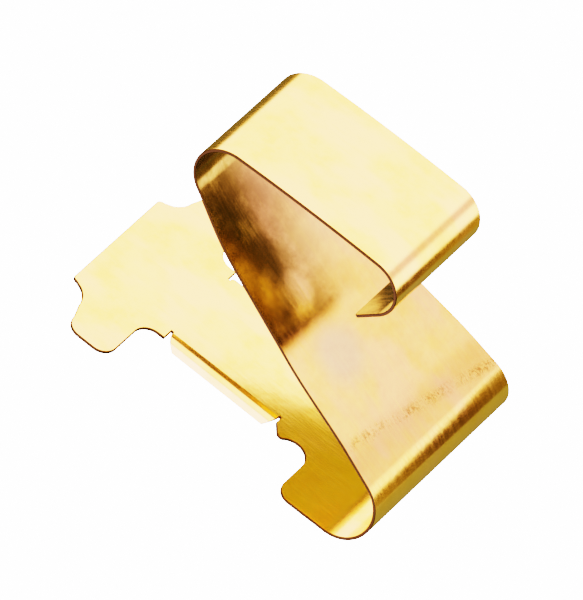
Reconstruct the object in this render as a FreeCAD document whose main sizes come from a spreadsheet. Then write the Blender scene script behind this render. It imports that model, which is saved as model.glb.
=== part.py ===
# Formed leaf-spring contact, one folded strip of thin brass sheet.
#
# The strip is laid down in the order in which it is bent.  It starts at the flat base, turns up
# through the lower bend, rises as the spring leaf, turns over through the upper bend, runs level as
# the contact plate and ends in a hook and a short lip.  Two shallow flanges are turned down from the
# sides of the base.
#
# Each region is modelled in its own local frame: X runs along the strip, Y across it, and the sheet
# lies between Z = -thickness and Z = 0.  Placing every region at the end of the one before it gives
# the folded shape.

import FreeCAD, Part
import math
import os

import Sketcher

FILE_NAME = "leaf_spring_contact"
doc = FreeCAD.newDocument(FILE_NAME)
os.makedirs("parts", exist_ok=True)

# ---------------------------------------------------------------- driving dimensions (mm, degrees)

SIZES = {
    "thickness": 0.2,
    "base_length": 20.2,
    "base_half_width": 7.45,
    "tongue_half_width": 4.4,
    "tongue_corner": 0.3,
    "shoulder_radius": 1.4,
    "ear_half_width": 7.5,
    "ear_corner": 0.95,
    "ear_start": 18.8,
    "rear_relief": 14.55,
    "rear_relief_radius": 0.95,
    "front_relief": 4.5,
    "front_relief_radius": 1.05,
    "relief_half_gap": 3.65,
    "tooth_centre": 5.5,
    "tooth_half_width": 0.3,
    "tooth_reach": 4.08,
    "flange_line": 2.9,
    "flange_rear": 14.0,
    "flange_front": 6.35,
    "flange_slit": 0.1,
    "flange_inner_radius": 0.3,
    "flange_straight": 0.45,
    "flange_end_inset": 0.6,
    "lower_radius": 2.05,
    "lower_turn": 156.9,
    "leaf_root_half_width": 6.7,
    "leaf_straight": 13.15,
    "leaf_bow_radius": 28.0,
    "leaf_bow_turn": 10.9,
    "strip_half_width": 4.3,
    "upper_radius": 2.1,
    "upper_turn": 142.5,
    "plate_radius": 128.0,
    "plate_turn": 4.35,
    "hook_radius": 1.75,
    "hook_turn": 131.7,
    "lip_length": 1.7,
}

SIZE_SHEET = "Sizes"


def make_sheet():
    """Write every driving dimension to a spreadsheet cell with an alias."""
    sheet = doc.addObject("Spreadsheet::Sheet", SIZE_SHEET)
    for row, (alias, value) in enumerate(SIZES.items(), start=1):
        sheet.set(f"A{row}", alias)
        sheet.set(f"B{row}", str(value))
        sheet.setAlias(f"B{row}", alias)
    doc.recompute()
    return sheet


def size(alias):
    """Value of one driving dimension."""
    return SIZES[alias]


def cell(alias):
    """Expression that names one driving dimension."""
    return f"{SIZE_SHEET}.{alias}"


# ---------------------------------------------------------------- where each region starts

def end_of_straight(start, length):
    """Frame reached after running straight along the strip."""
    return start.multiply(FreeCAD.Placement(FreeCAD.Vector(length, 0, 0), FreeCAD.Rotation()))


def end_of_turn(start, radius, turn, upward):
    """Frame reached after a bend; radius is that of the bend's inner face."""
    axis_height = radius if upward else -(radius + size("thickness"))
    angle = -turn if upward else turn
    spin = FreeCAD.Rotation(FreeCAD.Vector(0, 1, 0), angle)
    centre = FreeCAD.Vector(0, 0, axis_height)
    return start.multiply(FreeCAD.Placement(centre - spin.multVec(centre), spin))


def strip_frames():
    """Start frame of every region, with the part's own origin under the middle of its outline."""
    reach = size("lower_radius") + size("thickness")
    middle = (size("base_length") - reach) / 2
    foot = size("flange_inner_radius") + size("thickness") + size("flange_straight")
    frames = {"base": FreeCAD.Placement(FreeCAD.Vector(middle, 0, foot), FreeCAD.Rotation())}
    frames["lower_bend"] = frames["base"]
    frames["leaf"] = end_of_turn(frames["lower_bend"], size("lower_radius"), size("lower_turn"), True)
    bow = end_of_straight(frames["leaf"], size("leaf_straight"))
    frames["upper_bend"] = end_of_turn(bow, size("leaf_bow_radius"), size("leaf_bow_turn"), False)
    frames["plate"] = end_of_turn(frames["upper_bend"], size("upper_radius"), size("upper_turn"), False)
    frames["hook"] = end_of_turn(frames["plate"], size("plate_radius"), size("plate_turn"), False)
    frames["lip"] = end_of_turn(frames["hook"], size("hook_radius"), size("hook_turn"), False)
    return frames


# ---------------------------------------------------------------- sketch helpers

ORIGIN = -1
START = 1
END = 2
HALF_DIAGONAL = math.sqrt(0.5)


def make_body(label):
    """Empty body whose label names the exported file."""
    body = doc.addObject("PartDesign::Body", "Body_" + label)
    body.Label = label
    return body


def make_sketch(body, plane_role, name):
    """Sketch on one of the body's own origin planes."""
    plane = next(f for f in body.Origin.OriginFeatures if f.Role == plane_role)
    sketch = body.newObject("Sketcher::SketchObject", name)
    sketch.AttachmentSupport = [(plane, "")]
    sketch.MapMode = "FlatFace"
    return sketch


def vector(point):
    """Sketch point as a vector."""
    return FreeCAD.Vector(point[0], point[1], 0)


def gap(sketch, end_a, end_b):
    """Distance between two edge ends, each given as (geometry, point)."""
    return (sketch.getPoint(*end_a) - sketch.getPoint(*end_b)).Length


def add_outline(sketch, pieces):
    """Add a closed outline of lines (two points) and arcs (three points), joined end to end."""
    first = len(sketch.Geometry)
    for piece in pieces:
        points = [vector(point) for point in piece]
        edge = Part.LineSegment(*points) if len(points) == 2 else Part.Arc(*points)
        sketch.addGeometry(edge, False)
    for index in range(len(pieces)):
        here = first + index
        following = first + (index + 1) % len(pieces)
        pairs = [((here, a), (following, b)) for a in (START, END) for b in (START, END)]
        end_a, end_b = min(pairs, key=lambda pair: gap(sketch, *pair))
        sketch.addConstraint(Sketcher.Constraint("Coincident", *end_a, *end_b))
    return first


def polygon(corners):
    """Closed outline of straight edges through the corners."""
    return [(corner, corners[(index + 1) % len(corners)]) for index, corner in enumerate(corners)]


def bind(sketch, kind, arguments, value, expression):
    """Add one dimension and tie it to a driving dimension."""
    index = sketch.addConstraint(Sketcher.Constraint(kind, *arguments, value))
    sketch.setExpression(f"Constraints[{index}]", expression)


def add_sheet_section(sketch, width_alias):
    """Cross-section of the sheet, centred across the strip with its face at height zero."""
    half = size(width_alias)
    low = -size("thickness")
    first = add_outline(sketch, polygon([(-half, low), (half, low), (half, 0), (-half, 0)]))
    side, top = first + 1, first + 2
    for offset, kind in enumerate(("Horizontal", "Vertical", "Horizontal", "Vertical")):
        sketch.addConstraint(Sketcher.Constraint(kind, first + offset))
    sketch.addConstraint(Sketcher.Constraint("PointOnObject", top, START, ORIGIN))
    bind(sketch, "DistanceX", (ORIGIN, START, top, START), half, cell(width_alias))
    bind(sketch, "DistanceX", (top, END, ORIGIN, START), half, cell(width_alias))
    bind(sketch, "DistanceY", (side, START, side, END), size("thickness"), cell("thickness"))


# ---------------------------------------------------------------- feature helpers

def finish_feature(body, feature):
    """Make a feature the body's result and rebuild."""
    body.Tip = feature
    doc.recompute()
    return feature


def add_turn(body, radius_alias, turn_alias, width_alias, upward):
    """Sweep the sheet's section round a bend that starts at the body's origin."""
    sketch = make_sketch(body, "YZ_Plane", body.Label + "_section")
    add_sheet_section(sketch, width_alias)
    radius = size(radius_alias)
    height = radius if upward else -(radius + size("thickness"))
    reach = size(width_alias)
    line = Part.LineSegment(vector((-reach, height)), vector((reach, height)))
    axis = sketch.addGeometry(line, True)
    sketch.addConstraint(Sketcher.Constraint("Horizontal", axis))
    bind(sketch, "DistanceX", (axis, START, ORIGIN, START), reach, cell(width_alias))
    bind(sketch, "DistanceX", (ORIGIN, START, axis, END), reach, cell(width_alias))
    if upward:
        bind(sketch, "DistanceY", (ORIGIN, START, axis, START), radius, cell(radius_alias))
    else:
        depth = f"{cell(radius_alias)} + {cell('thickness')}"
        bind(sketch, "DistanceY", (axis, START, ORIGIN, START), -height, depth)
    turn = body.newObject("PartDesign::Revolution", body.Label + "_sweep")
    turn.Profile = sketch
    turn.ReferenceAxis = (sketch, ["Axis0"])
    turn.setExpression("Angle", cell(turn_alias))
    turn.Reversed = upward
    return finish_feature(body, turn)


def cut_sides(body, plane_role, start, finish):
    """Trim both sides to a taper between two (station, half-width) pairs along the plane."""
    outside = size("ear_half_width") + 1
    sketch = make_sketch(body, plane_role, body.Label + "_taper_sketch")
    (station_a, half_a), (station_b, half_b) = start, finish
    for side in (-1, 1):
        corners = [(station_a, side * half_a), (station_a, side * outside),
                   (station_b, side * outside), (station_b, side * half_b)]
        if plane_role == "YZ_Plane":
            corners = [(across, station) for station, across in corners]
        add_outline(sketch, polygon(corners))
    cut = body.newObject("PartDesign::Pocket", body.Label + "_taper")
    cut.Profile = sketch
    cut.Type = "ThroughAll"
    cut.Midplane = True
    return finish_feature(body, cut)


# ---------------------------------------------------------------- base and flanges

SHOULDER_RUN = 0.65
SHOULDER_RISE = 1.05
SHOULDER_LIFT = 0.2
EAR_LEAN = 0.3
TOOTH_ROOT_RISE = 0.45
TOOTH_FLANK_DROP = 0.15


def bulged_arc(start, finish, radius, side):
    """Short arc between two points; side picks which way it bulges."""
    (x0, y0), (x1, y1) = start, finish
    chord = math.hypot(x1 - x0, y1 - y0)
    sagitta = radius - math.sqrt(radius ** 2 - (chord / 2) ** 2)
    middle = ((x0 + x1) / 2 + side * sagitta * (y1 - y0) / chord,
              (y0 + y1) / 2 - side * sagitta * (x1 - x0) / chord)
    return (start, middle, finish)


def tongue_edge():
    """Edge from the middle of the tongue end to the top of the ear behind it."""
    end = -size("base_length")
    tongue = size("tongue_half_width")
    nick = size("tongue_corner")
    corner = size("ear_corner")
    ear_start = -size("ear_start")
    tongue_side = (end + nick, tongue)
    shoulder_start = (ear_start - SHOULDER_RUN, tongue + SHOULDER_LIFT)
    shoulder_end = (ear_start, shoulder_start[1] + SHOULDER_RISE)
    ear_foot = (ear_start + EAR_LEAN, size("ear_half_width") - corner)
    ear_top = (ear_foot[0] + corner, size("ear_half_width"))
    return [
        ((end, 0), (end, tongue - nick)),
        bulged_arc((end, tongue - nick), tongue_side, nick, -1),
        (tongue_side, shoulder_start),
        bulged_arc(shoulder_start, shoulder_end, size("shoulder_radius"), 1),
        (shoulder_end, ear_foot),
        bulged_arc(ear_foot, ear_top, corner, -1),
    ]


def relief_edge(centre, radius, outward):
    """Edge of one ear and the round of its relief notch, ending at the notch floor.

    outward is -1 at the tongue end and 1 at the bend end.
    """
    corner = size("ear_corner")
    ear = size("ear_half_width")
    floor = size("relief_half_gap")
    wall = centre + outward * radius
    ear_top = (wall + outward * corner, ear)
    ear_side = (wall, ear - corner)
    notch_top = (wall, floor + radius)
    notch_middle = (centre + outward * radius * HALF_DIAGONAL, floor + radius - radius * HALF_DIAGONAL)
    return [
        bulged_arc(ear_top, ear_side, corner, outward),
        (ear_side, notch_top),
        (notch_top, notch_middle, (centre, floor)),
    ]


def rear_slit_edge():
    """Edge from the rear notch floor down the slit that frees the flange's rear end."""
    slit = -size("flange_rear") - size("flange_slit")
    floor = size("relief_half_gap")
    return [
        ((-size("rear_relief"), floor), (slit, floor)),
        ((slit, floor), (slit, size("flange_line"))),
    ]


def front_tooth_edge():
    """Edge from the slit at the flange's front end, over a small tooth, to the front notch floor."""
    slit = -size("flange_front") + size("flange_slit")
    line = size("flange_line")
    floor = size("relief_half_gap")
    reach = size("tooth_reach")
    middle = -size("tooth_centre")
    half = size("tooth_half_width")
    root = (slit, line + TOOTH_ROOT_RISE)
    flank = (middle - half, reach - TOOTH_FLANK_DROP)
    heel = (middle + half, reach - TOOTH_FLANK_DROP)
    notch = (-size("front_relief"), floor)
    return [
        ((slit, line), root),
        (root, flank),
        (flank, (middle, reach), heel),
        bulged_arc(heel, notch, size("front_relief_radius"), 1),
    ]


def half_base_outline():
    """Edge of the base on its +Y side, from the tongue end to the lower bend."""
    tongue = tongue_edge()
    rear = relief_edge(-size("rear_relief"), size("rear_relief_radius"), -1) + rear_slit_edge()
    notch = relief_edge(-size("front_relief"), size("front_relief_radius"), 1)
    front = front_tooth_edge() + [tuple(reversed(piece)) for piece in reversed(notch)]
    ear_edge = [(tongue[-1][-1], rear[0][0])]
    flange_edge = [(rear[-1][-1], front[0][0])]
    bend_edge = [(front[-1][-1], (0, size("base_half_width")))]
    return tongue + ear_edge + rear + flange_edge + front + bend_edge


def build_base():
    """Flat base with its tongue, ears and relief notches."""
    body = make_body("base_plate")
    sketch = make_sketch(body, "XY_Plane", "base_outline")
    half = half_base_outline()
    other_half = [tuple((x, -y) for x, y in reversed(piece)) for piece in reversed(half)]
    width = size("base_half_width")
    fold_line = [((0, width), (0, -width))]
    first = add_outline(sketch, half + fold_line + other_half)
    fold = first + len(half)
    bind(sketch, "DistanceX", (first, START, ORIGIN, START), size("base_length"), cell("base_length"))
    bind(sketch, "DistanceY", (ORIGIN, START, fold, START), width, cell("base_half_width"))
    pad = body.newObject("PartDesign::Pad", "base_sheet")
    pad.Profile = sketch
    pad.setExpression("Length", cell("thickness"))
    pad.Reversed = True
    finish_feature(body, pad)
    return body


def flange_section(side):
    """Section of a flange as it leaves the base and turns straight down; side is -1 or 1."""
    thickness = size("thickness")
    inner = size("flange_inner_radius")
    outer = inner + thickness
    foot = outer + size("flange_straight")
    line = size("flange_line")
    points = {
        "top": (0, 0),
        "outer_middle": (outer * HALF_DIAGONAL, outer * HALF_DIAGONAL - outer),
        "outer_end": (outer, -outer),
        "outer_foot": (outer, -foot),
        "inner_foot": (inner, -foot),
        "inner_end": (inner, -outer),
        "inner_middle": (inner * HALF_DIAGONAL, inner * HALF_DIAGONAL - outer),
        "under": (0, -thickness),
    }
    place = {name: (side * (line + across), height) for name, (across, height) in points.items()}
    return [
        (place["top"], place["outer_middle"], place["outer_end"]),
        (place["outer_end"], place["outer_foot"]),
        (place["outer_foot"], place["inner_foot"]),
        (place["inner_foot"], place["inner_end"]),
        (place["inner_end"], place["inner_middle"], place["under"]),
        (place["under"], place["top"]),
    ]


def build_flange(label, side):
    """Shallow flange turned down from one side of the base, with its ends cut at a slope."""
    body = make_body(label)
    sketch = make_sketch(body, "YZ_Plane", label + "_section")
    first = add_outline(sketch, flange_section(side))
    outer_expression = f"{cell('flange_inner_radius')} + {cell('thickness')}"
    outer = size("flange_inner_radius") + size("thickness")
    bind(sketch, "Radius", (first,), outer, outer_expression)
    bind(sketch, "Radius", (first + 4,), size("flange_inner_radius"), cell("flange_inner_radius"))
    run = body.newObject("PartDesign::Pad", label + "_run")
    run.Profile = sketch
    run.setExpression("Length", f"{cell('flange_rear')} - {cell('flange_front')}")
    finish_feature(body, run)

    length = size("flange_rear") - size("flange_front")
    below = outer + size("flange_straight")
    inset = size("flange_end_inset")
    ends = make_sketch(body, "XZ_Plane", label + "_end_sketch")
    for tip, outward in ((0, -1), (length, 1)):
        add_outline(ends, polygon([(tip, 0), (tip + outward, 0), (tip + outward, -2 * below),
                                   (tip - 2 * outward * inset, -2 * below)]))
    trim = body.newObject("PartDesign::Pocket", label + "_end_trim")
    trim.Profile = ends
    trim.Type = "ThroughAll"
    trim.Midplane = True
    finish_feature(body, trim)
    return body


# ---------------------------------------------------------------- regions of the strip

def build_lower_bend():
    """Bend that turns the strip up from the base, tapering as it goes."""
    body = make_body("lower_bend")
    add_turn(body, "lower_radius", "lower_turn", "base_half_width", True)
    turn = math.radians(size("lower_turn"))
    middle_radius = size("lower_radius") + size("thickness") / 2
    rise = size("lower_radius") - middle_radius * math.cos(turn)
    loss = size("base_half_width") - size("leaf_root_half_width")
    top = rise + size("thickness")
    half_width_at_top = size("base_half_width") - loss * top / rise
    cut_sides(body, "YZ_Plane", (0, size("base_half_width")), (top, half_width_at_top))
    return body


def build_leaf():
    """Spring leaf, straight at first and gently bowed towards the upper bend, tapering all the way."""
    body = make_body("spring_leaf")
    straight = size("leaf_straight")
    thickness = size("thickness")
    turn = math.radians(size("leaf_bow_turn"))
    inner = size("leaf_bow_radius")
    outer = inner + thickness

    def bow(radius, angle):
        return (straight + radius * math.sin(angle), radius * math.cos(angle) - outer)

    sketch = make_sketch(body, "XZ_Plane", "leaf_profile")
    first = add_outline(sketch, [
        ((0, 0), (straight, 0)),
        (bow(outer, 0), bow(outer, turn / 2), bow(outer, turn)),
        (bow(outer, turn), bow(inner, turn)),
        (bow(inner, turn), bow(inner, turn / 2), bow(inner, 0)),
        ((straight, -thickness), (0, -thickness)),
        ((0, -thickness), (0, 0)),
    ])
    bind(sketch, "DistanceX", (first, START, first, END), straight, cell("leaf_straight"))
    bind(sketch, "DistanceY", (first + 5, START, first + 5, END), thickness, cell("thickness"))
    bind(sketch, "Radius", (first + 3,), inner, cell("leaf_bow_radius"))
    pad = body.newObject("PartDesign::Pad", "leaf_sheet")
    pad.Profile = sketch
    pad.setExpression("Length", f"2 * {cell('leaf_root_half_width')}")
    pad.Midplane = True
    finish_feature(body, pad)
    cut_sides(body, "XY_Plane", (0, size("leaf_root_half_width")),
              (bow(outer, turn)[0], size("strip_half_width")))
    return body


def build_upper_turn(label, radius_alias, turn_alias):
    """One of the constant-width regions that turn the strip over and back down."""
    body = make_body(label)
    add_turn(body, radius_alias, turn_alias, "strip_half_width", False)
    return body


def build_lip():
    """Short straight lip at the free end of the hook."""
    body = make_body("hook_lip")
    sketch = make_sketch(body, "YZ_Plane", "lip_section")
    add_sheet_section(sketch, "strip_half_width")
    run = body.newObject("PartDesign::Pad", "lip_sheet")
    run.Profile = sketch
    run.setExpression("Length", cell("lip_length"))
    finish_feature(body, run)
    return body


# ---------------------------------------------------------------- assembly

def check_document():
    """Stop on any object that failed to rebuild."""
    for item in doc.Objects:
        if "Invalid" in item.State or "Error" in item.State:
            raise RuntimeError(f"{item.Name} did not rebuild")


def check_body(body):
    """Stop on a shape that is not one valid solid."""
    shape = body.Shape
    if shape.isNull() or not shape.isValid() or len(shape.Solids) != 1:
        raise RuntimeError(f"{body.Label} is not one valid solid")


def export_body(body):
    """Write one body as a STEP file named after its label."""
    body.Shape.exportStep(f"parts/{body.Label}.step")
    box = body.Shape.BoundBox
    print(f"{body.Label}: {body.Shape.Volume:.2f} mm3, X {box.XMin:.2f} to {box.XMax:.2f},"
          f" Y {box.YMin:.2f} to {box.YMax:.2f}, Z {box.ZMin:.2f} to {box.ZMax:.2f}")


def main():
    """Build every region, place it along the strip, check it and export it."""
    make_sheet()
    frames = strip_frames()
    placed = [
        (build_base(), frames["base"]),
        (build_lower_bend(), frames["lower_bend"]),
        (build_leaf(), frames["leaf"]),
        (build_upper_turn("upper_bend", "upper_radius", "upper_turn"), frames["upper_bend"]),
        (build_upper_turn("contact_plate", "plate_radius", "plate_turn"), frames["plate"]),
        (build_upper_turn("hook_bend", "hook_radius", "hook_turn"), frames["hook"]),
        (build_lip(), frames["lip"]),
    ]
    flange_start = end_of_straight(frames["base"], -size("flange_rear"))
    for label, side in (("near_side_flange", -1), ("far_side_flange", 1)):
        placed.append((build_flange(label, side), flange_start))
    for body, frame in placed:
        body.Placement = frame
    doc.recompute()
    check_document()
    for body, _ in placed:
        check_body(body)
    for body, _ in placed:
        export_body(body)
    for name, frame in frames.items():
        print(f"{name} starts at {frame.Base}, turned {math.degrees(frame.Rotation.Angle):.2f} degrees")


main()
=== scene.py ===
import math

import bmesh
import bpy
from mathutils import Matrix, Vector


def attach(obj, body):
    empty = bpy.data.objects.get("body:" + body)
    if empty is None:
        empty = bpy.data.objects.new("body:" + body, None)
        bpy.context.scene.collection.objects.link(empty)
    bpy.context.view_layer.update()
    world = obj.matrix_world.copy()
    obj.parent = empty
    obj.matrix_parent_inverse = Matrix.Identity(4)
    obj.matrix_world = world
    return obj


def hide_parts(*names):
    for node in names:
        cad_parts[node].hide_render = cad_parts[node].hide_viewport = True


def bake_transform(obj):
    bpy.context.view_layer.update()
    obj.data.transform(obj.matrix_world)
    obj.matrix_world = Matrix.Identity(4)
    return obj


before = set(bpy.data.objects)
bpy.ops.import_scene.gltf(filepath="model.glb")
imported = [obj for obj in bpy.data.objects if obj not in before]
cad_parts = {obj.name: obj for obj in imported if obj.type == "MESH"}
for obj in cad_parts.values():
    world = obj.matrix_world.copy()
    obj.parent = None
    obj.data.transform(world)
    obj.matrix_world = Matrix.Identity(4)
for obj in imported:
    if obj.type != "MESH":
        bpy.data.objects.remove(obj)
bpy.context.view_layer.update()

# A clip folded from one strip of brass sheet.  The strip is drawn flat first: "along" runs down its
# length from the lower bend line, "across" is its width, and "depth" is zero at the sheet's face and
# minus its thickness at its back.  It is then folded region by region.  The strip's sizes are in
# millimetres and degrees; the stage, the camera and the bump heights are in metres.

MM = 0.001

# ---------------------------------------------------------------- sizes

THICKNESS = 0.2
HALF_THICKNESS = THICKNESS / 2

BASE_LENGTH = 20.2
BASE_HALF_WIDTH = 7.45
TONGUE_HALF_WIDTH = 4.4
TONGUE_CORNER = 0.3
SHOULDER_RADIUS = 1.4
SHOULDER_RUN = 0.65
SHOULDER_RISE = 1.05
SHOULDER_LIFT = 0.2
EAR_HALF_WIDTH = 7.5
EAR_CORNER = 0.95
EAR_START = 18.8
EAR_LEAN = 0.3
REAR_RELIEF = 14.55
REAR_RELIEF_RADIUS = 0.95
FRONT_RELIEF = 4.5
FRONT_RELIEF_RADIUS = 1.05
RELIEF_HALF_GAP = 3.65
TOOTH_CENTRE = 5.5
TOOTH_HALF_WIDTH = 0.3
TOOTH_REACH = 4.08
TOOTH_ROOT_RISE = 0.45
TOOTH_FLANK_DROP = 0.15
FLANGE_LINE = 2.9
FLANGE_REAR = 14.0
FLANGE_FRONT = 6.35
FLANGE_SLIT = 0.1
FLANGE_INNER_RADIUS = 0.3
FLANGE_STRAIGHT = 0.45
FLANGE_END_INSET = 0.6

LOWER_RADIUS = 2.05
LOWER_TURN = 156.9
LEAF_ROOT_HALF_WIDTH = 6.7
LEAF_STRAIGHT = 13.15
LEAF_BOW_RADIUS = 28.0
LEAF_BOW_TURN = 10.9
STRIP_HALF_WIDTH = 4.3
UPPER_RADIUS = 2.1
UPPER_TURN = 142.5
PLATE_RADIUS = 128.0
PLATE_TURN = 4.35
HOOK_RADIUS = 1.75
HOOK_TURN = 131.7
LIP_LENGTH = 1.7
LIP_CORNER = 0.25

# The leaf's crown: its tilt at STRIP_HALF_WIDTH from the middle, then where it is gone and where it is
# full, measured from the leaf's start and from the bow's end.
CROWN_TILT = 5.0
CROWN_RISE = (2.0, 8.0)
CROWN_FALL = (0.5, -4.0)

# The set at the leaf's root, which tilts the shading only.  It comes in before the root and goes after it.
ROOT_SET_TILT = 8.0
ROOT_SET_RISE = 0.8
ROOT_SET_RUN = 2.6

FLANGE_MID_RADIUS = FLANGE_INNER_RADIUS + HALF_THICKNESS
FLANGE_OUTER_RADIUS = FLANGE_INNER_RADIUS + THICKNESS
FLANGE_ARC = FLANGE_MID_RADIUS * math.pi / 2
BASE_HEIGHT = FLANGE_OUTER_RADIUS + FLANGE_STRAIGHT
FOLD_X = (BASE_LENGTH - LOWER_RADIUS - THICKNESS) / 2

ARC_STEP = math.radians(9)
ARC_LEAST_STEPS = 3
FLANGE_END_STEPS = 4
BEND_EDGE_STEPS = 8

# The least share of a corner's own normal that lies along its edge's normal.
SHARPEST_MITRE = 0.5

# How close counts as on a line, on the flat strip and in a cut.
NEAR = 1e-4
CUT_NEAR = 1e-5

# Width and depth of the rounding on the edge's two rims.
TOP_ROUND = (0.075, 0.05)
UNDER_ROUND = (0.05, 0.04)
ROUND_STEPS = 4

# Rows of faces in each region and in each flange's fold, and the lines each side of the leaf's middle.
REGION_ROWS = {"lower_bend": 64, "leaf": 24, "bow": 20, "upper_bend": 60, "plate": 14, "hook": 56, "lip": 1}
FLANGE_ROWS = 12
CROWN_LINE_GAP = 0.9
CROWN_LINES = 4

# Where the strip is parted into pieces, as a share of the leaf's and the plate's length.
LEAF_SEAM_SHARE = 0.6
PLATE_SEAM_SHARE = 0.5


# ---------------------------------------------------------------- the folded strip

class Region:
    """One stretch of the strip: straight when turn is zero, otherwise a bend up (+) or down (-)."""

    def __init__(self, start, place, angle, length=0.0, radius=0.0, turn=0.0):
        self.start = start
        self.x, self.z = place
        self.angle = angle
        self.turn = math.radians(turn)
        self.mid_radius = radius + HALF_THICKNESS
        self.face_radius = radius if turn > 0 else radius + THICKNESS
        self.length = self.mid_radius * abs(self.turn) if turn else length
        self.end = start + self.length

    def at(self, along):
        """Place and direction of the face line at a distance along the strip."""
        step = along - self.start
        if not self.turn:
            return (self.x + step * math.cos(self.angle), self.z + step * math.sin(self.angle)), self.angle
        sign = math.copysign(1, self.turn)
        angle = self.angle + sign * step / self.mid_radius
        swing = sign * self.face_radius
        x = self.x + swing * (math.sin(angle) - math.sin(self.angle))
        z = self.z - swing * (math.cos(angle) - math.cos(self.angle))
        return (x, z), angle


def strip_regions():
    """Every region after the fold line, each starting where the one before ends."""
    plan = [
        ("lower_bend", dict(radius=LOWER_RADIUS, turn=LOWER_TURN)),
        ("leaf", dict(length=LEAF_STRAIGHT)),
        ("bow", dict(radius=LEAF_BOW_RADIUS, turn=-LEAF_BOW_TURN)),
        ("upper_bend", dict(radius=UPPER_RADIUS, turn=-UPPER_TURN)),
        ("plate", dict(radius=PLATE_RADIUS, turn=-PLATE_TURN)),
        ("hook", dict(radius=HOOK_RADIUS, turn=-HOOK_TURN)),
        ("lip", dict(length=LIP_LENGTH)),
    ]
    place, angle, start = (FOLD_X, BASE_HEIGHT), 0.0, 0.0
    regions = {}
    for name, shape in plan:
        region = Region(start, place, angle, **shape)
        regions[name] = region
        start = region.end
        place, angle = region.at(start)
    return regions


REGIONS = strip_regions()
STRIP_END = REGIONS["lip"].end


def face_line(along):
    """Place and direction of the face line anywhere on the strip; the base lies before the fold line."""
    if along <= 0:
        return (FOLD_X + along, BASE_HEIGHT), 0.0
    for region in REGIONS.values():
        if along <= region.end:
            return region.at(along)
    return REGIONS["lip"].at(along)


def flange_fold(across):
    """Turn angle and straight run of a point beyond a flange's fold line."""
    beyond = abs(across) - FLANGE_LINE
    turn = min(beyond / FLANGE_MID_RADIUS, math.pi / 2)
    return turn, max(0.0, beyond - FLANGE_ARC)


def on_flange(along, across):
    """True for the two side tabs that turn down from the base."""
    return -FLANGE_REAR - NEAR <= along <= NEAR - FLANGE_FRONT and abs(across) > FLANGE_LINE + NEAR


def smooth_share(value, start, finish):
    """Smooth step from 0 at start to 1 at finish."""
    share = min(1.0, max(0.0, (value - start) / (finish - start)))
    return share * share * (3 - 2 * share)


def leaf_crown(along, across):
    """Depth and sideways slope of the leaf's slight crown, which fades out towards both bends."""
    start, finish = REGIONS["leaf"].start, REGIONS["bow"].end
    rise = smooth_share(along, start + CROWN_RISE[0], start + CROWN_RISE[1])
    fall = smooth_share(along, finish + CROWN_FALL[0], finish + CROWN_FALL[1])
    slope = rise * fall * math.tan(math.radians(CROWN_TILT)) / STRIP_HALF_WIDTH
    return slope * across * across / 2, slope * across


def root_lean(along):
    """Slope of the shading at the leaf's root, which fades out both ways."""
    root = REGIONS["leaf"].start
    share = smooth_share(along, root - ROOT_SET_RISE, root) * smooth_share(along, root + ROOT_SET_RUN, root)
    return share * math.tan(math.radians(ROOT_SET_TILT))


def fold_flange(along, across, depth, flat_normal):
    """Folded place and normal of a point on a flange."""
    turn, run = flange_fold(across)
    side = math.copysign(1, across)
    reach = FLANGE_OUTER_RADIUS + depth
    place = Vector((FOLD_X + along, side * (FLANGE_LINE + reach * math.sin(turn)),
                    BASE_HEIGHT - FLANGE_OUTER_RADIUS + reach * math.cos(turn) - run))
    outward = Vector((0, side * math.sin(turn), math.cos(turn)))
    sideways = Vector((0, math.cos(turn), -side * math.sin(turn)))
    normal = Vector((1, 0, 0)) * flat_normal[0] + sideways * flat_normal[1] + outward * flat_normal[2]
    return place, normal


def fold(flat, flat_normal):
    """Folded place and normal of a point of the flat strip."""
    along, across, depth = flat
    crown, slope = leaf_crown(along, across)
    depth += crown
    flat_normal = (flat_normal[0] + root_lean(along) * flat_normal[2],
                   flat_normal[1] - slope * flat_normal[2],
                   flat_normal[2] + slope * flat_normal[1])
    if on_flange(along, across):
        return fold_flange(along, across, depth, flat_normal)
    (x, z), angle = face_line(along)
    forward = Vector((math.cos(angle), 0, math.sin(angle)))
    upward = Vector((-math.sin(angle), 0, math.cos(angle)))
    place = Vector((x, across, z)) + upward * depth
    normal = forward * flat_normal[0] + Vector((0, 1, 0)) * flat_normal[1] + upward * flat_normal[2]
    return place, normal


# ---------------------------------------------------------------- the flat outline

def bulged_arc(start, finish, radius, side):
    """Points of a short arc, without its last; side picks which way it bulges."""
    (x0, y0), (x1, y1) = start, finish
    chord = math.hypot(x1 - x0, y1 - y0)
    along = ((x1 - x0) / chord, (y1 - y0) / chord)
    bulge = (side * along[1], -side * along[0])
    half = math.asin(min(1.0, chord / 2 / radius))
    drop = radius * math.cos(half)
    centre = ((x0 + x1) / 2 - bulge[0] * drop, (y0 + y1) / 2 - bulge[1] * drop)
    steps = max(ARC_LEAST_STEPS, math.ceil(2 * half / ARC_STEP))
    points = []
    for index in range(steps):
        angle = half * (2 * index / steps - 1)
        points.append((centre[0] + radius * (bulge[0] * math.cos(angle) + along[0] * math.sin(angle)),
                       centre[1] + radius * (bulge[1] * math.cos(angle) + along[1] * math.sin(angle))))
    return points


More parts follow.
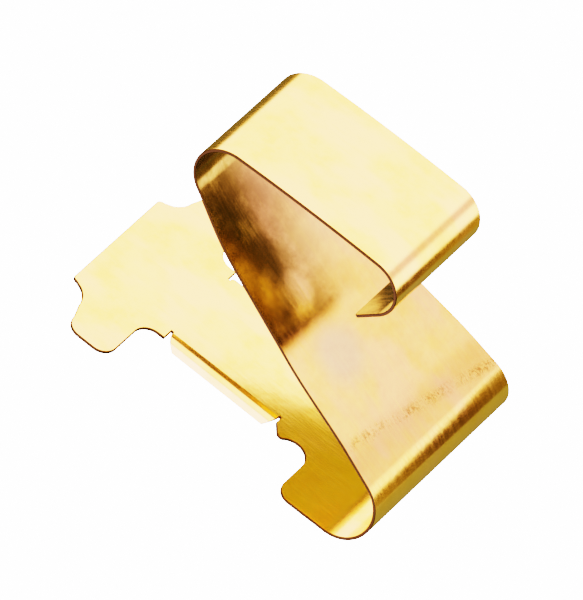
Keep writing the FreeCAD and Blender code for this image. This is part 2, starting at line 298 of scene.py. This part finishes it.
def tongue_edge():
    """Edge from the tongue end to the top of the ear behind it."""
    end = -BASE_LENGTH
    tongue_side = (end + TONGUE_CORNER, TONGUE_HALF_WIDTH)
    shoulder_start = (-EAR_START - SHOULDER_RUN, TONGUE_HALF_WIDTH + SHOULDER_LIFT)
    shoulder_end = (-EAR_START, shoulder_start[1] + SHOULDER_RISE)
    ear_foot = (-EAR_START + EAR_LEAN, EAR_HALF_WIDTH - EAR_CORNER)
    ear_top = (ear_foot[0] + EAR_CORNER, EAR_HALF_WIDTH)
    return (bulged_arc((end, TONGUE_HALF_WIDTH - TONGUE_CORNER), tongue_side, TONGUE_CORNER, -1)
            + [tongue_side]
            + bulged_arc(shoulder_start, shoulder_end, SHOULDER_RADIUS, 1)
            + [shoulder_end]
            + bulged_arc(ear_foot, ear_top, EAR_CORNER, -1)
            + [ear_top])


def relief_edge(centre, radius, outward):
    """Edge of one ear and the round of its relief notch; outward points away from the flange."""
    wall = centre + outward * radius
    ear_top = (wall + outward * EAR_CORNER, EAR_HALF_WIDTH)
    ear_side = (wall, EAR_HALF_WIDTH - EAR_CORNER)
    notch_top = (wall, RELIEF_HALF_GAP + radius)
    notch_floor = (centre, RELIEF_HALF_GAP)
    return (bulged_arc(ear_top, ear_side, EAR_CORNER, outward) + [ear_side]
            + bulged_arc(notch_top, notch_floor, radius, -outward) + [notch_floor])


def flange_end_edge(corner, outward):
    """Sloped end of one flange, from its fold line out to its foot."""
    points = [(corner, FLANGE_LINE)]
    for index in range(1, FLANGE_END_STEPS + 1):
        turn = index / FLANGE_END_STEPS * math.pi / 2
        drop = FLANGE_OUTER_RADIUS * (1 - math.cos(turn))
        points.append((corner - outward * FLANGE_END_INSET * drop / BASE_HEIGHT,
                       FLANGE_LINE + FLANGE_MID_RADIUS * turn))
    points.append((corner - outward * FLANGE_END_INSET, FLANGE_LINE + FLANGE_ARC + FLANGE_STRAIGHT))
    return points


def flange_edge():
    """Edge from the rear notch floor, down a slit, round the flange, up a slit and over a small tooth."""
    rear_slit = -FLANGE_REAR - FLANGE_SLIT
    front_slit = -FLANGE_FRONT + FLANGE_SLIT
    shoulder = TOOTH_REACH - TOOTH_FLANK_DROP
    flank = (-TOOTH_CENTRE - TOOTH_HALF_WIDTH, shoulder)
    heel = (-TOOTH_CENTRE + TOOTH_HALF_WIDTH, shoulder)
    tip_radius = (TOOTH_HALF_WIDTH ** 2 + TOOTH_FLANK_DROP ** 2) / (2 * TOOTH_FLANK_DROP)
    return ([(rear_slit, RELIEF_HALF_GAP), (rear_slit, FLANGE_LINE)]
            + flange_end_edge(-FLANGE_REAR, -1)
            + flange_end_edge(-FLANGE_FRONT, 1)[::-1]
            + [(front_slit, FLANGE_LINE), (front_slit, FLANGE_LINE + TOOTH_ROOT_RISE)]
            + bulged_arc(flank, heel, tip_radius, -1)
            + bulged_arc(heel, (-FRONT_RELIEF, RELIEF_HALF_GAP), FRONT_RELIEF_RADIUS, 1))


def strip_edge():
    """Tapering edge from the fold line to the free tip."""
    bend = REGIONS["lower_bend"]
    top = bend.at(bend.end)[0][1] - BASE_HEIGHT
    loss = BASE_HALF_WIDTH - LEAF_ROOT_HALF_WIDTH
    points = []
    for index in range(BEND_EDGE_STEPS + 1):
        along = bend.end * index / BEND_EDGE_STEPS
        rise = bend.at(along)[0][1] - BASE_HEIGHT
        points.append((along, BASE_HALF_WIDTH - loss * rise / top))
    points.append((REGIONS["bow"].end, STRIP_HALF_WIDTH))
    tip_side = (STRIP_END - LIP_CORNER, STRIP_HALF_WIDTH)
    tip_end = (STRIP_END, STRIP_HALF_WIDTH - LIP_CORNER)
    return points + bulged_arc(tip_side, tip_end, LIP_CORNER, -1) + [tip_end]


def flat_outline():
    """Closed outline of the flat strip, anticlockwise seen from its face."""
    rear = relief_edge(-REAR_RELIEF, REAR_RELIEF_RADIUS, -1)
    front = relief_edge(-FRONT_RELIEF, FRONT_RELIEF_RADIUS, 1)[::-1]
    far_side = tongue_edge() + rear + flange_edge() + front + strip_edge()
    near_side = [(along, -across) for along, across in reversed(far_side)]
    return (far_side + near_side)[::-1]


def corner_normals(outline):
    """Outward normal at each corner, and how far the corner stands out beyond its edges."""
    count = len(outline)
    sides = []
    for index in range(count):
        (x0, y0), (x1, y1) = outline[index], outline[(index + 1) % count]
        sides.append(Vector((y1 - y0, x0 - x1)).normalized())
    corners = []
    for index in range(count):
        outward = (sides[index - 1] + sides[index]).normalized()
        corners.append((outward, 1 / max(SHARPEST_MITRE, outward.dot(sides[index]))))
    return corners


def edge_rings():
    """(inset, depth, outward share, upward share) of each ring round the sheet's edge, face to back."""
    rings = []
    turns = [index / ROUND_STEPS * math.pi / 2 for index in range(ROUND_STEPS + 1)]
    wide, deep = TOP_ROUND
    for turn in turns:
        rings.append((wide * (1 - math.sin(turn)), -deep * (1 - math.cos(turn)),
                      math.sin(turn) / wide, math.cos(turn) / deep))
    wide, deep = UNDER_ROUND
    for turn in reversed(turns):
        rings.append((wide * (1 - math.sin(turn)), deep * (1 - math.cos(turn)) - THICKNESS,
                      math.sin(turn) / wide, -math.cos(turn) / deep))
    return rings


# ---------------------------------------------------------------- meshes

FLAT_NORMAL = "flat_normal"
STRIP_PLACE = "strip_place"
EDGE_SHARE = "edge_share"


def flat_sheet():
    """The whole flat strip as a closed mesh with rounded edges."""
    outline = flat_outline()
    corners = corner_normals(outline)
    mesh = bmesh.new()
    layer = mesh.verts.layers.float_vector.new(FLAT_NORMAL)
    rings = []
    for inset, depth, out_share, up_share in edge_rings():
        ring = []
        for (along, across), (outward, stretch) in zip(outline, corners):
            vertex = mesh.verts.new((along - outward.x * inset * stretch,
                                     across - outward.y * inset * stretch, depth))
            vertex[layer] = Vector((outward.x * out_share, outward.y * out_share, up_share)).normalized()
            ring.append(vertex)
        rings.append(ring)
    count = len(outline)
    for upper, lower in zip(rings, rings[1:]):
        for index in range(count):
            following = (index + 1) % count
            mesh.faces.new((upper[index], lower[index], lower[following], upper[following]))
    mesh.faces.new(rings[0])
    mesh.faces.new(rings[-1][::-1])
    return mesh


def cut(mesh, place, normal, geometry=None, drop_beyond=False):
    """Cut the mesh along a plane; with drop_beyond, what lies on the normal's side goes."""
    if geometry is None:
        geometry = mesh.verts[:] + mesh.edges[:] + mesh.faces[:]
    bmesh.ops.bisect_plane(mesh, geom=geometry, dist=CUT_NEAR, plane_co=place, plane_no=normal,
                           clear_outer=drop_beyond)


def geometry_of(faces):
    """Faces with their edges and corners."""
    pieces = set()
    for face in faces:
        pieces.update([face], face.edges, face.verts)
    return list(pieces)


def add_rows(mesh):
    """Rows of edges where the strip bends, and lines along it for the leaf's crown."""
    for name, count in REGION_ROWS.items():
        region = REGIONS[name]
        for index in range(count):
            cut(mesh, (region.start + region.length * index / count, 0, 0), (1, 0, 0))
    leaf_start = REGIONS["leaf"].start - NEAR
    for index in range(-CROWN_LINES, CROWN_LINES + 1):
        beyond = [face for face in mesh.faces if face.calc_center_median().x > leaf_start]
        cut(mesh, (0, index * CROWN_LINE_GAP, 0), (0, 1, 0), geometry_of(beyond))
    for side in (-1, 1):
        add_flange_rows(mesh, side)


def add_flange_rows(mesh, side):
    """Rows of edges along one flange's fold."""
    cut(mesh, (0, side * FLANGE_LINE, 0), (0, 1, 0))
    for index in range(1, FLANGE_ROWS + 1):
        tab = []
        for face in mesh.faces:
            centre = face.calc_center_median()
            if centre.y * side > 0 and on_flange(centre.x, centre.y):
                tab.append(face)
        line = side * (FLANGE_LINE + FLANGE_ARC * index / FLANGE_ROWS)
        cut(mesh, (0, line, 0), (0, 1, 0), geometry_of(tab))


def cut_out(sheet, start, finish):
    """Copy of the flat sheet between two cuts, and the faces that close them."""
    mesh = sheet.copy()
    caps = []
    for along, direction in ((start, -1), (finish, 1)):
        if along is None:
            continue
        cut(mesh, (along, 0, 0), (direction, 0, 0), drop_beyond=True)
        rim = [edge for edge in mesh.edges if edge.is_boundary]
        caps += bmesh.ops.contextual_create(mesh, geom=rim)["faces"]
    return mesh, caps


def fold_mesh(mesh):
    """Fold a flat mesh in place; it keeps where each vertex was on the flat strip."""
    layer = mesh.verts.layers.float_vector[FLAT_NORMAL]
    place_layer = mesh.verts.layers.float_vector.new(STRIP_PLACE)
    edge_layer = mesh.verts.layers.float.new(EDGE_SHARE)
    normals = []
    for vertex in mesh.verts:
        vertex[place_layer] = vertex.co
        vertex[edge_layer] = vertex[layer].normalized().xy.length
        place, normal = fold(vertex.co, vertex[layer])
        vertex.co = place * MM
        normals.append(normal.normalized())
    return normals


def strip_piece(sheet, name, start, finish):
    """The stretch of the strip from start to finish, folded, as a closed object."""
    mesh, caps = cut_out(sheet, start, finish)
    bmesh.ops.recalc_face_normals(mesh, faces=mesh.faces)
    mesh.faces.index_update()
    cap_numbers = {face.index for face in caps}
    normals = fold_mesh(mesh)
    for face in mesh.faces:
        face.smooth = True
    mesh.verts.index_update()
    data = bpy.data.meshes.new(name)
    mesh.to_mesh(data)
    mesh.free()
    corner_directions = []
    for polygon in data.polygons:
        flat = polygon.index in cap_numbers
        for corner in polygon.vertices:
            corner_directions.append(polygon.normal.copy() if flat else normals[corner])
    data.normals_split_custom_set(corner_directions)
    piece = bpy.data.objects.new(name, data)
    bpy.context.scene.collection.objects.link(piece)
    return piece


# ---------------------------------------------------------------- shader helpers

def add_node(tree, kind, **values):
    """New shader node with its sockets and settings filled in."""
    node = tree.nodes.new(kind)
    for name, value in values.items():
        if name in node.inputs:
            node.inputs[name].default_value = value
        else:
            setattr(node, name, value)
    return node


def feed(tree, socket, value):
    """Link a socket to another node's output, or set it to a plain value."""
    if isinstance(value, bpy.types.NodeSocket):
        tree.links.new(value, socket)
    else:
        socket.default_value = value


def maths(tree, operation, first, second=0.0):
    """Output of a math node."""
    node = add_node(tree, "ShaderNodeMath", operation=operation)
    feed(tree, node.inputs[0], first)
    feed(tree, node.inputs[1], second)
    return node.outputs[0]


def times(tree, *factors):
    """Product of several values."""
    product = factors[0]
    for factor in factors[1:]:
        product = maths(tree, "MULTIPLY", product, factor)
    return product


def left_over(tree, share, depth=1.0):
    """What is left of 1 when a share of a depth is taken off."""
    return maths(tree, "SUBTRACT", 1.0, times(tree, share, depth))


def off_line(tree, value, line):
    """How far a value is from a line, on either side."""
    return maths(tree, "ABSOLUTE", maths(tree, "SUBTRACT", value, line))


def dot(tree, vector, direction):
    """How far a vector points along a direction."""
    node = add_node(tree, "ShaderNodeVectorMath", operation="DOT_PRODUCT")
    feed(tree, node.inputs[0], vector)
    node.inputs[1].default_value = Vector(direction)
    return node.outputs["Value"]


def distance(tree, place, centre):
    """How far a place is from a fixed centre."""
    node = add_node(tree, "ShaderNodeVectorMath", operation="DISTANCE")
    feed(tree, node.inputs[0], place)
    node.inputs[1].default_value = centre
    return node.outputs["Value"]


def ramp(tree, value, start, finish, low=0.0, high=1.0):
    """Smooth step from low at start to high at finish."""
    node = add_node(tree, "ShaderNodeMapRange", interpolation_type="SMOOTHSTEP")
    feed(tree, node.inputs["Value"], value)
    for name, number in (("From Min", start), ("From Max", finish), ("To Min", low), ("To Max", high)):
        node.inputs[name].default_value = number
    return node.outputs["Result"]


def mix_colour(tree, share, first, second):
    """Blend of two colours."""
    node = add_node(tree, "ShaderNodeMix", data_type="RGBA")
    colour_sockets = [socket for socket in node.inputs if socket.type == "RGBA"]
    feed(tree, node.inputs["Factor"], share)
    feed(tree, colour_sockets[0], first)
    feed(tree, colour_sockets[1], second)
    return next(socket for socket in node.outputs if socket.type == "RGBA")


def noise(tree, place, stretch, detail, roughness):
    """Noise over the flat strip; stretch gives how many spots fit in a millimetre each way."""
    scaled = add_node(tree, "ShaderNodeVectorMath", operation="MULTIPLY")
    feed(tree, scaled.inputs[0], place)
    scaled.inputs[1].default_value = stretch
    node = add_node(tree, "ShaderNodeTexNoise", Scale=1.0, Detail=detail, Roughness=roughness)
    feed(tree, node.inputs["Vector"], scaled.outputs[0])
    return node.outputs["Fac"]


# ---------------------------------------------------------------- materials

BRIGHT_BRASS = (0.98, 0.78, 0.30, 1)
DEEP_BRASS = (0.95, 0.72, 0.22, 1)
ROSY_BRASS = (0.98, 0.73, 0.35, 1)
# Worn grey brass, for the rubbed patch and for the painted grey shade on the leaf's back.
RUBBED_AND_SHADED_BRASS = (0.58, 0.60, 0.42, 1)
# Dark olive brass, painted shade on the leaf's back under the top plate.
DARK_SHADE_BRASS = (0.16, 0.145, 0.045, 1)
SHEARED_BRASS = (0.048, 0.037, 0.014, 1)
SCUFFED_BRASS = (0.26, 0.17, 0.07, 1)

# Noises: how many spots fit in a millimetre each way, then detail and roughness.
MOTTLE = ((0.45, 0.45, 0.45), 4.0, 0.6)
CLOUDS = ((0.16, 0.3, 0.3), 3.0, 0.5)
GRAIN = ((0.35, 7.0, 7.0), 4.0, 0.6)
SPECKS = ((5.0, 8.0, 8.0), 4.0, 0.65)
RIPPLE = ((0.8, 0.8, 0.8), 2.0, 0.5)

# The two values of a noise between which it comes in, and the least share where it thins a mark.
MOTTLE_TO_DEEP = (0.35, 0.7)
CLOUDS_TO_ROSY = (0.46, 0.62)
GRAIN_TO_DEEP = (0.55, 0.8)
DEEP_GRAIN_SHARE = 0.3
MOTTLE_THINS = (0.3, 0.6)
GREY_SHADE_LEAST = 0.5
DARK_SHADE_LEAST = 0.6
SCUFF_BREAKS = (0.38, 0.55)
SCUFF_LEAST = 0.3
SCUFF_SPECKS = (0.40, 0.62)
GRAIN_TO_ROUGH = (0.3, 0.8)

# Marks on the strip, by place on the flat strip.  A pair is where a mark starts and where it is full.
SHEET_BACK = (-0.12, -0.16)
# Painted shade: the back of the leaf greys towards the top bend, where it lies under the top plate.
GREY_SHADE_ALONG = (15.0, 18.5)
GREY_SHADE_SHARE = 0.5
# Painted shade: the back of the leaf darkens from here on, towards the near side, under the top plate.
DARK_SHADE_ALONG = (14.0, 15.0)
DARK_SHADE_ACROSS = (3.0, -2.4)
DARK_SHADE_SHARE = 0.95
BLOTCH_PLACE = (16.6, -2.4, -THICKNESS)
BLOTCH_FADE = (0.5, 1.5)
BLOTCH_DARK_SHADE = 0.35
RUB_PLACE = (12.4, -2.4, -THICKNESS)
RUB_FADE = (2.6, 0.8)
RUB_SHARE = 0.8
SCUFF_ALONG = 7.25
SCUFF_SLANT = 0.17
SCUFF_FADE = (0.55, 0.05)
SCUFF_SHARE = 0.85
SHEARED_EDGE = (0.08, 0.35)

ROUGHNESS_RANGE = (0.15, 0.25)
SCUFF_ROUGHNESS = 0.2
SHEARED_ROUGHNESS = 0.25
RIPPLE_HEIGHT = 1.0e-5
GRAIN_HEIGHT = 1.2e-6


class StripPlaces:
    """Shader values for a place on the flat strip, and the noises that several layers share."""

    def __init__(self, tree):
        self.place = add_node(tree, "ShaderNodeAttribute", attribute_name=STRIP_PLACE).outputs["Vector"]
        apart = add_node(tree, "ShaderNodeSeparateXYZ")
        feed(tree, apart.inputs[0], self.place)
        self.along, self.across, depth = apart.outputs
        self.on_back = ramp(tree, depth, *SHEET_BACK)
        self.mottle = noise(tree, self.place, *MOTTLE)
        self.grain = noise(tree, self.place, *GRAIN)


def brass_tones_and_grey_shade(tree, strip):
    """Clouds of bright, deep and rosy brass, greyed on the back from the leaf's upper half on as painted
    shade under the top plate, with darker grain."""
    colour = mix_colour(tree, ramp(tree, strip.mottle, *MOTTLE_TO_DEEP), BRIGHT_BRASS, DEEP_BRASS)
    clouds = noise(tree, strip.place, *CLOUDS)
    colour = mix_colour(tree, ramp(tree, clouds, *CLOUDS_TO_ROSY), colour, ROSY_BRASS)
    mottled = ramp(tree, strip.mottle, *MOTTLE_THINS, GREY_SHADE_LEAST)
    # Painted shade: greys the leaf's back under the top plate.
    grey_shade = times(tree, strip.on_back, ramp(tree, strip.along, *GREY_SHADE_ALONG), mottled, GREY_SHADE_SHARE)
    colour = mix_colour(tree, grey_shade, colour, RUBBED_AND_SHADED_BRASS)
    streaks = ramp(tree, strip.grain, *GRAIN_TO_DEEP, high=DEEP_GRAIN_SHARE)
    return mix_colour(tree, streaks, colour, DEEP_BRASS)


def shaded_and_rubbed(tree, strip, colour):
    """Colour with painted shade on the back, from the leaf's upper half on and towards the near side,
    thinner at one blotch, and with a rubbed patch."""
    mottled = ramp(tree, strip.mottle, *MOTTLE_THINS, DARK_SHADE_LEAST)
    blotch = ramp(tree, distance(tree, strip.place, BLOTCH_PLACE), *BLOTCH_FADE, BLOTCH_DARK_SHADE)
    # Painted shade: darkens the leaf's back under the top plate, lighter at one blotch.
    dark_shade = times(tree, ramp(tree, strip.along, *DARK_SHADE_ALONG), ramp(tree, strip.across, *DARK_SHADE_ACROSS),
                    blotch, strip.on_back, mottled, DARK_SHADE_SHARE)
    colour = mix_colour(tree, dark_shade, colour, DARK_SHADE_BRASS)
    from_rub = distance(tree, strip.place, RUB_PLACE)
    rubbed = times(tree, ramp(tree, from_rub, *RUB_FADE), strip.on_back, RUB_SHARE)
    return mix_colour(tree, rubbed, colour, RUBBED_AND_SHADED_BRASS)


def scuff_share(tree, strip):
    """How scuffed the sheet is: one broken line of specks that slants across the leaf's root."""
    line = maths(tree, "SUBTRACT", SCUFF_ALONG, times(tree, strip.across, SCUFF_SLANT))
    specks = ramp(tree, noise(tree, strip.place, *SPECKS), *SCUFF_SPECKS)
    broken = ramp(tree, strip.mottle, *SCUFF_BREAKS, SCUFF_LEAST)
    return times(tree, ramp(tree, off_line(tree, strip.along, line), *SCUFF_FADE), specks, broken)


def strip_relief(tree, strip):
    """Normal of the sheet with soft ripples and fine rolling lines."""
    waves = add_node(tree, "ShaderNodeBump", Strength=1.0, Distance=RIPPLE_HEIGHT)
    feed(tree, waves.inputs["Height"], noise(tree, strip.place, *RIPPLE))
    lines = add_node(tree, "ShaderNodeBump", Strength=1.0, Distance=GRAIN_HEIGHT)
    feed(tree, lines.inputs["Height"], strip.grain)
    feed(tree, lines.inputs["Normal"], waves.outputs["Normal"])
    return lines.outputs["Normal"]


def brass_material():
    """Polished brass strip with rolling grain, clouds, painted shade on the leaf's back, a scuff and dark
    sheared edges.
    """
    material = bpy.data.materials.new("brass_sheet")
    material.use_nodes = True
    tree = material.node_tree
    shader = tree.nodes["Principled BSDF"]
    shader.inputs["Metallic"].default_value = 1.0
    strip = StripPlaces(tree)
    scuff = scuff_share(tree, strip)
    edge = add_node(tree, "ShaderNodeAttribute", attribute_name=EDGE_SHARE).outputs["Fac"]
    sheared = ramp(tree, edge, *SHEARED_EDGE)

    # Painted shade on the leaf's back comes in here, with the rubbed patch.
    colour = shaded_and_rubbed(tree, strip, brass_tones_and_grey_shade(tree, strip))
    colour = mix_colour(tree, times(tree, scuff, SCUFF_SHARE), colour, SCUFFED_BRASS)
    feed(tree, shader.inputs["Base Color"], mix_colour(tree, sheared, colour, SHEARED_BRASS))

    roughness = ramp(tree, strip.grain, *GRAIN_TO_ROUGH, *ROUGHNESS_RANGE)
    roughness = maths(tree, "ADD", roughness, times(tree, scuff, SCUFF_ROUGHNESS))
    roughness = maths(tree, "ADD", roughness, times(tree, sheared, SHEARED_ROUGHNESS))
    feed(tree, shader.inputs["Roughness"], roughness)
    feed(tree, shader.inputs["Normal"], strip_relief(tree, strip))
    return material


# ---------------------------------------------------------------- pieces

sheet = flat_sheet()
add_rows(sheet)
leaf = REGIONS["leaf"]
plate = REGIONS["plate"]
leaf_seam = leaf.start + leaf.length * LEAF_SEAM_SHARE
plate_seam = plate.start + plate.length * PLATE_SEAM_SHARE
lower_strip = strip_piece(sheet, "lower_strip", None, leaf_seam)
upper_strip = strip_piece(sheet, "upper_strip", leaf_seam, plate_seam)
hook_strip = strip_piece(sheet, "hook_strip", plate_seam, None)
sheet.free()

brass = brass_material()
for piece in (lower_strip, upper_strip, hook_strip):
    piece.data.materials.append(brass)


def face_point(along):
    """Middle of the strip's face line, in metres."""
    (x, z), _ = face_line(along)
    return (x * MM, 0.0, z * MM)


bend = REGIONS["lower_bend"]
face_point(bend.start)
face_point(bend.end)
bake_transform(lower_strip)
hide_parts("base_plate", "near_side_flange", "far_side_flange", "lower_bend", "spring_leaf")
bend = REGIONS["upper_bend"]
face_point(bend.start)
face_point(bend.end)
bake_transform(upper_strip)
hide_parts("upper_bend", "contact_plate")
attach(hook_strip, "contact")
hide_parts("hook_bend", "hook_lip")


# ---------------------------------------------------------------- stage, light and camera

def stage_card(name, corners, colour, strength, seen_by):
    """Glowing flat card that only the named kind of ray sees."""
    data = bpy.data.meshes.new(name)
    data.from_pydata(corners, [], [(0, 1, 2, 3)])
    card = bpy.data.objects.new(name, data)
    bpy.context.scene.collection.objects.link(card)
    material = bpy.data.materials.new(name)
    material.use_nodes = True
    tree = material.node_tree
    tree.nodes.clear()
    glow = add_node(tree, "ShaderNodeEmission", Color=colour, Strength=strength)
    output = tree.nodes.new("ShaderNodeOutputMaterial")
    tree.links.new(glow.outputs[0], output.inputs["Surface"])
    data.materials.append(material)
    for kind in ("camera", "glossy", "diffuse", "transmission", "shadow"):
        setattr(card, "visible_" + kind, kind == seen_by)
    return card


WHITE = (1, 1, 1, 1)
FLOOR_STRENGTH = 10.0
FLAG_GOLD = (1, 0.58, 0.14, 1)
FLAG_STRENGTH = (0.10, 0.42)
BOUNCE_GOLD = (1, 0.82, 0.14, 1)
BOUNCE_STRENGTH = 0.68


def add_floor():
    """White floor under the clip, for the camera only."""
    reach = 2.0
    corners = [(-reach, -reach, 0), (reach, -reach, 0), (reach, reach, 0), (-reach, reach, 0)]
    stage_card("floor", corners, WHITE, FLOOR_STRENGTH, "camera")


def add_flag():
    """Low dark-gold card beyond the lower bend, darkest along one upright line."""
    near = Vector((0.051, -0.003, 0))
    far = Vector((0.009, 0.039, 0))
    height = Vector((0, 0, 0.0137))
    dark_line, dark_half_width, fade_end = 0.0185, 0.0005, 0.006
    corners = [near, far, far + height, near + height]
    flag = stage_card("flag", corners, FLAG_GOLD, max(FLAG_STRENGTH), "glossy")
    tree = flag.active_material.node_tree
    glow = next(node for node in tree.nodes if node.type == "EMISSION")
    position = tree.nodes.new("ShaderNodeNewGeometry").outputs["Position"]
    from_line = off_line(tree, dot(tree, position, (0, 1, 0)), dark_line)
    feed(tree, glow.inputs["Strength"], ramp(tree, from_line, dark_half_width, fade_end, *FLAG_STRENGTH))


def add_bounce():
    """Small gold card on the floor just beyond the clip's far side."""
    left, right, front, rear = -0.014, 0.005, 0.0078, 0.0135
    corners = [(left, front, 0), (right, front, 0), (right, rear, 0), (left, rear, 0)]
    stage_card("bounce", corners, BOUNCE_GOLD, BOUNCE_STRENGTH, "glossy")


LAMP_COLOUR = (1, 0.54, 0.39, 1)
PANEL_COLOUR = (1, 0.56, 0.73, 1)
SEAM_COLOUR = (1, 0.39, 0.49, 1)
ROOM_COLOUR = (1.0, 0.78, 0.34, 1)

# The tent and its seam are placed by angle, in degrees from straight up towards +X.  The seam's back,
# the gap, the panel and the room are placed by how far a ray points their way.  A pair is where a part
# starts and where it is full; ROOM_STRENGTH is the room's strength at the ends of ROOM_SIDES.
TENT_RIGHT = (106, 82)
TENT_LEFT = (-103, -89)
TENT_STRENGTH = 3.8
SEAM_ANGLE = 43
SEAM_FADE = (20, 5)
SEAM_BACK = (0.2, 0.4)
SEAM_DEPTH = 0.68
GAP_DIRECTION = Vector((-0.12, 0.0, 0.99)).normalized()
GAP_FADE = (0.85, 0.93)
GAP_DEPTH = 0.93
PANEL_DIRECTION = Vector((-0.2, -0.72, -0.66)).normalized()
PANEL_FADE = (0.70, 0.92)
PANEL_STRENGTH = 4.0
ROOM_SIDES = (-0.6, 0.7)
ROOM_STRENGTH = (0.17, 0.36)


def tent_and_seam(tree, right, back, up):
    """Share of the tent that a ray meets, dimmed at its seam, and its share of the seam."""
    angle = times(tree, maths(tree, "ARCTAN2", right, up), math.degrees(1))
    seam = times(tree, ramp(tree, off_line(tree, angle, SEAM_ANGLE), *SEAM_FADE),
                 ramp(tree, back, *SEAM_BACK))
    tent = times(tree, ramp(tree, angle, *TENT_RIGHT), ramp(tree, angle, *TENT_LEFT),
                 left_over(tree, seam, SEAM_DEPTH))
    return tent, seam


def add_world():
    """Light tent with a dimmer seam and a gap overhead, a low front panel and a dim room."""
    world = bpy.data.worlds.new("studio")
    bpy.context.scene.world = world
    world.use_nodes = True
    tree = world.node_tree
    tree.nodes.clear()
    ray = tree.nodes.new("ShaderNodeTexCoord").outputs["Generated"]
    right, back, up = (dot(tree, ray, axis) for axis in ((1, 0, 0), (0, 1, 0), (0, 0, 1)))
    tent, seam = tent_and_seam(tree, right, back, up)
    gap = ramp(tree, dot(tree, ray, GAP_DIRECTION), *GAP_FADE)
    tent = times(tree, tent, left_over(tree, gap, GAP_DEPTH))
    panel = ramp(tree, dot(tree, ray, PANEL_DIRECTION), *PANEL_FADE)

    light = tree.nodes.new("ShaderNodeBackground")
    tent_colour = mix_colour(tree, seam, LAMP_COLOUR, SEAM_COLOUR)
    feed(tree, light.inputs["Color"], mix_colour(tree, panel, tent_colour, PANEL_COLOUR))
    feed(tree, light.inputs["Strength"],
         maths(tree, "ADD", times(tree, tent, TENT_STRENGTH), times(tree, panel, PANEL_STRENGTH)))
    room = add_node(tree, "ShaderNodeBackground", Color=ROOM_COLOUR)
    feed(tree, room.inputs["Strength"],
         times(tree, ramp(tree, right, *ROOM_SIDES, *ROOM_STRENGTH), left_over(tree, gap)))
    both = tree.nodes.new("ShaderNodeAddShader")
    output = tree.nodes.new("ShaderNodeOutputWorld")
    feed(tree, both.inputs[0], light.outputs[0])
    feed(tree, both.inputs[1], room.outputs[0])
    feed(tree, output.inputs["Surface"], both.outputs[0])


CAMERA_AZIMUTH = 14.34
CAMERA_ELEVATION = 46.18
CAMERA_ROLL = 27.9
CAMERA_DISTANCE = 0.643
CAMERA_AIM = Vector((-0.00063, 0.0, 0.00588))
CAMERA_LENS = 716.9
SENSOR_WIDTH = 36.0
CLIP_START = 0.01


def add_camera():
    """Long-lens camera that looks down at the clip, rolled about its own axis."""
    azimuth = math.radians(CAMERA_AZIMUTH)
    elevation = math.radians(CAMERA_ELEVATION)
    roll = math.radians(CAMERA_ROLL)
    back = Vector((math.sin(azimuth) * math.cos(elevation), -math.cos(azimuth) * math.cos(elevation),
                   math.sin(elevation)))
    level = Vector((math.cos(azimuth), math.sin(azimuth), 0))
    upright = back.cross(level)
    right = level * math.cos(roll) + upright * math.sin(roll)
    up = back.cross(right)
    rotation = Matrix((right, up, back)).transposed()
    data = bpy.data.cameras.new("camera")
    data.lens = CAMERA_LENS
    data.sensor_fit = "HORIZONTAL"
    data.sensor_width = SENSOR_WIDTH
    data.clip_start = CLIP_START
    camera = bpy.data.objects.new("camera", data)
    camera.matrix_world = Matrix.Translation(CAMERA_AIM + back * CAMERA_DISTANCE) @ rotation.to_4x4()
    bpy.context.scene.collection.objects.link(camera)
    bpy.context.scene.camera = camera


add_floor()
add_flag()
add_bounce()
add_world()
add_camera()
view = bpy.context.scene.view_settings
view.view_transform = "Filmic"
view.look = "Very High Contrast"
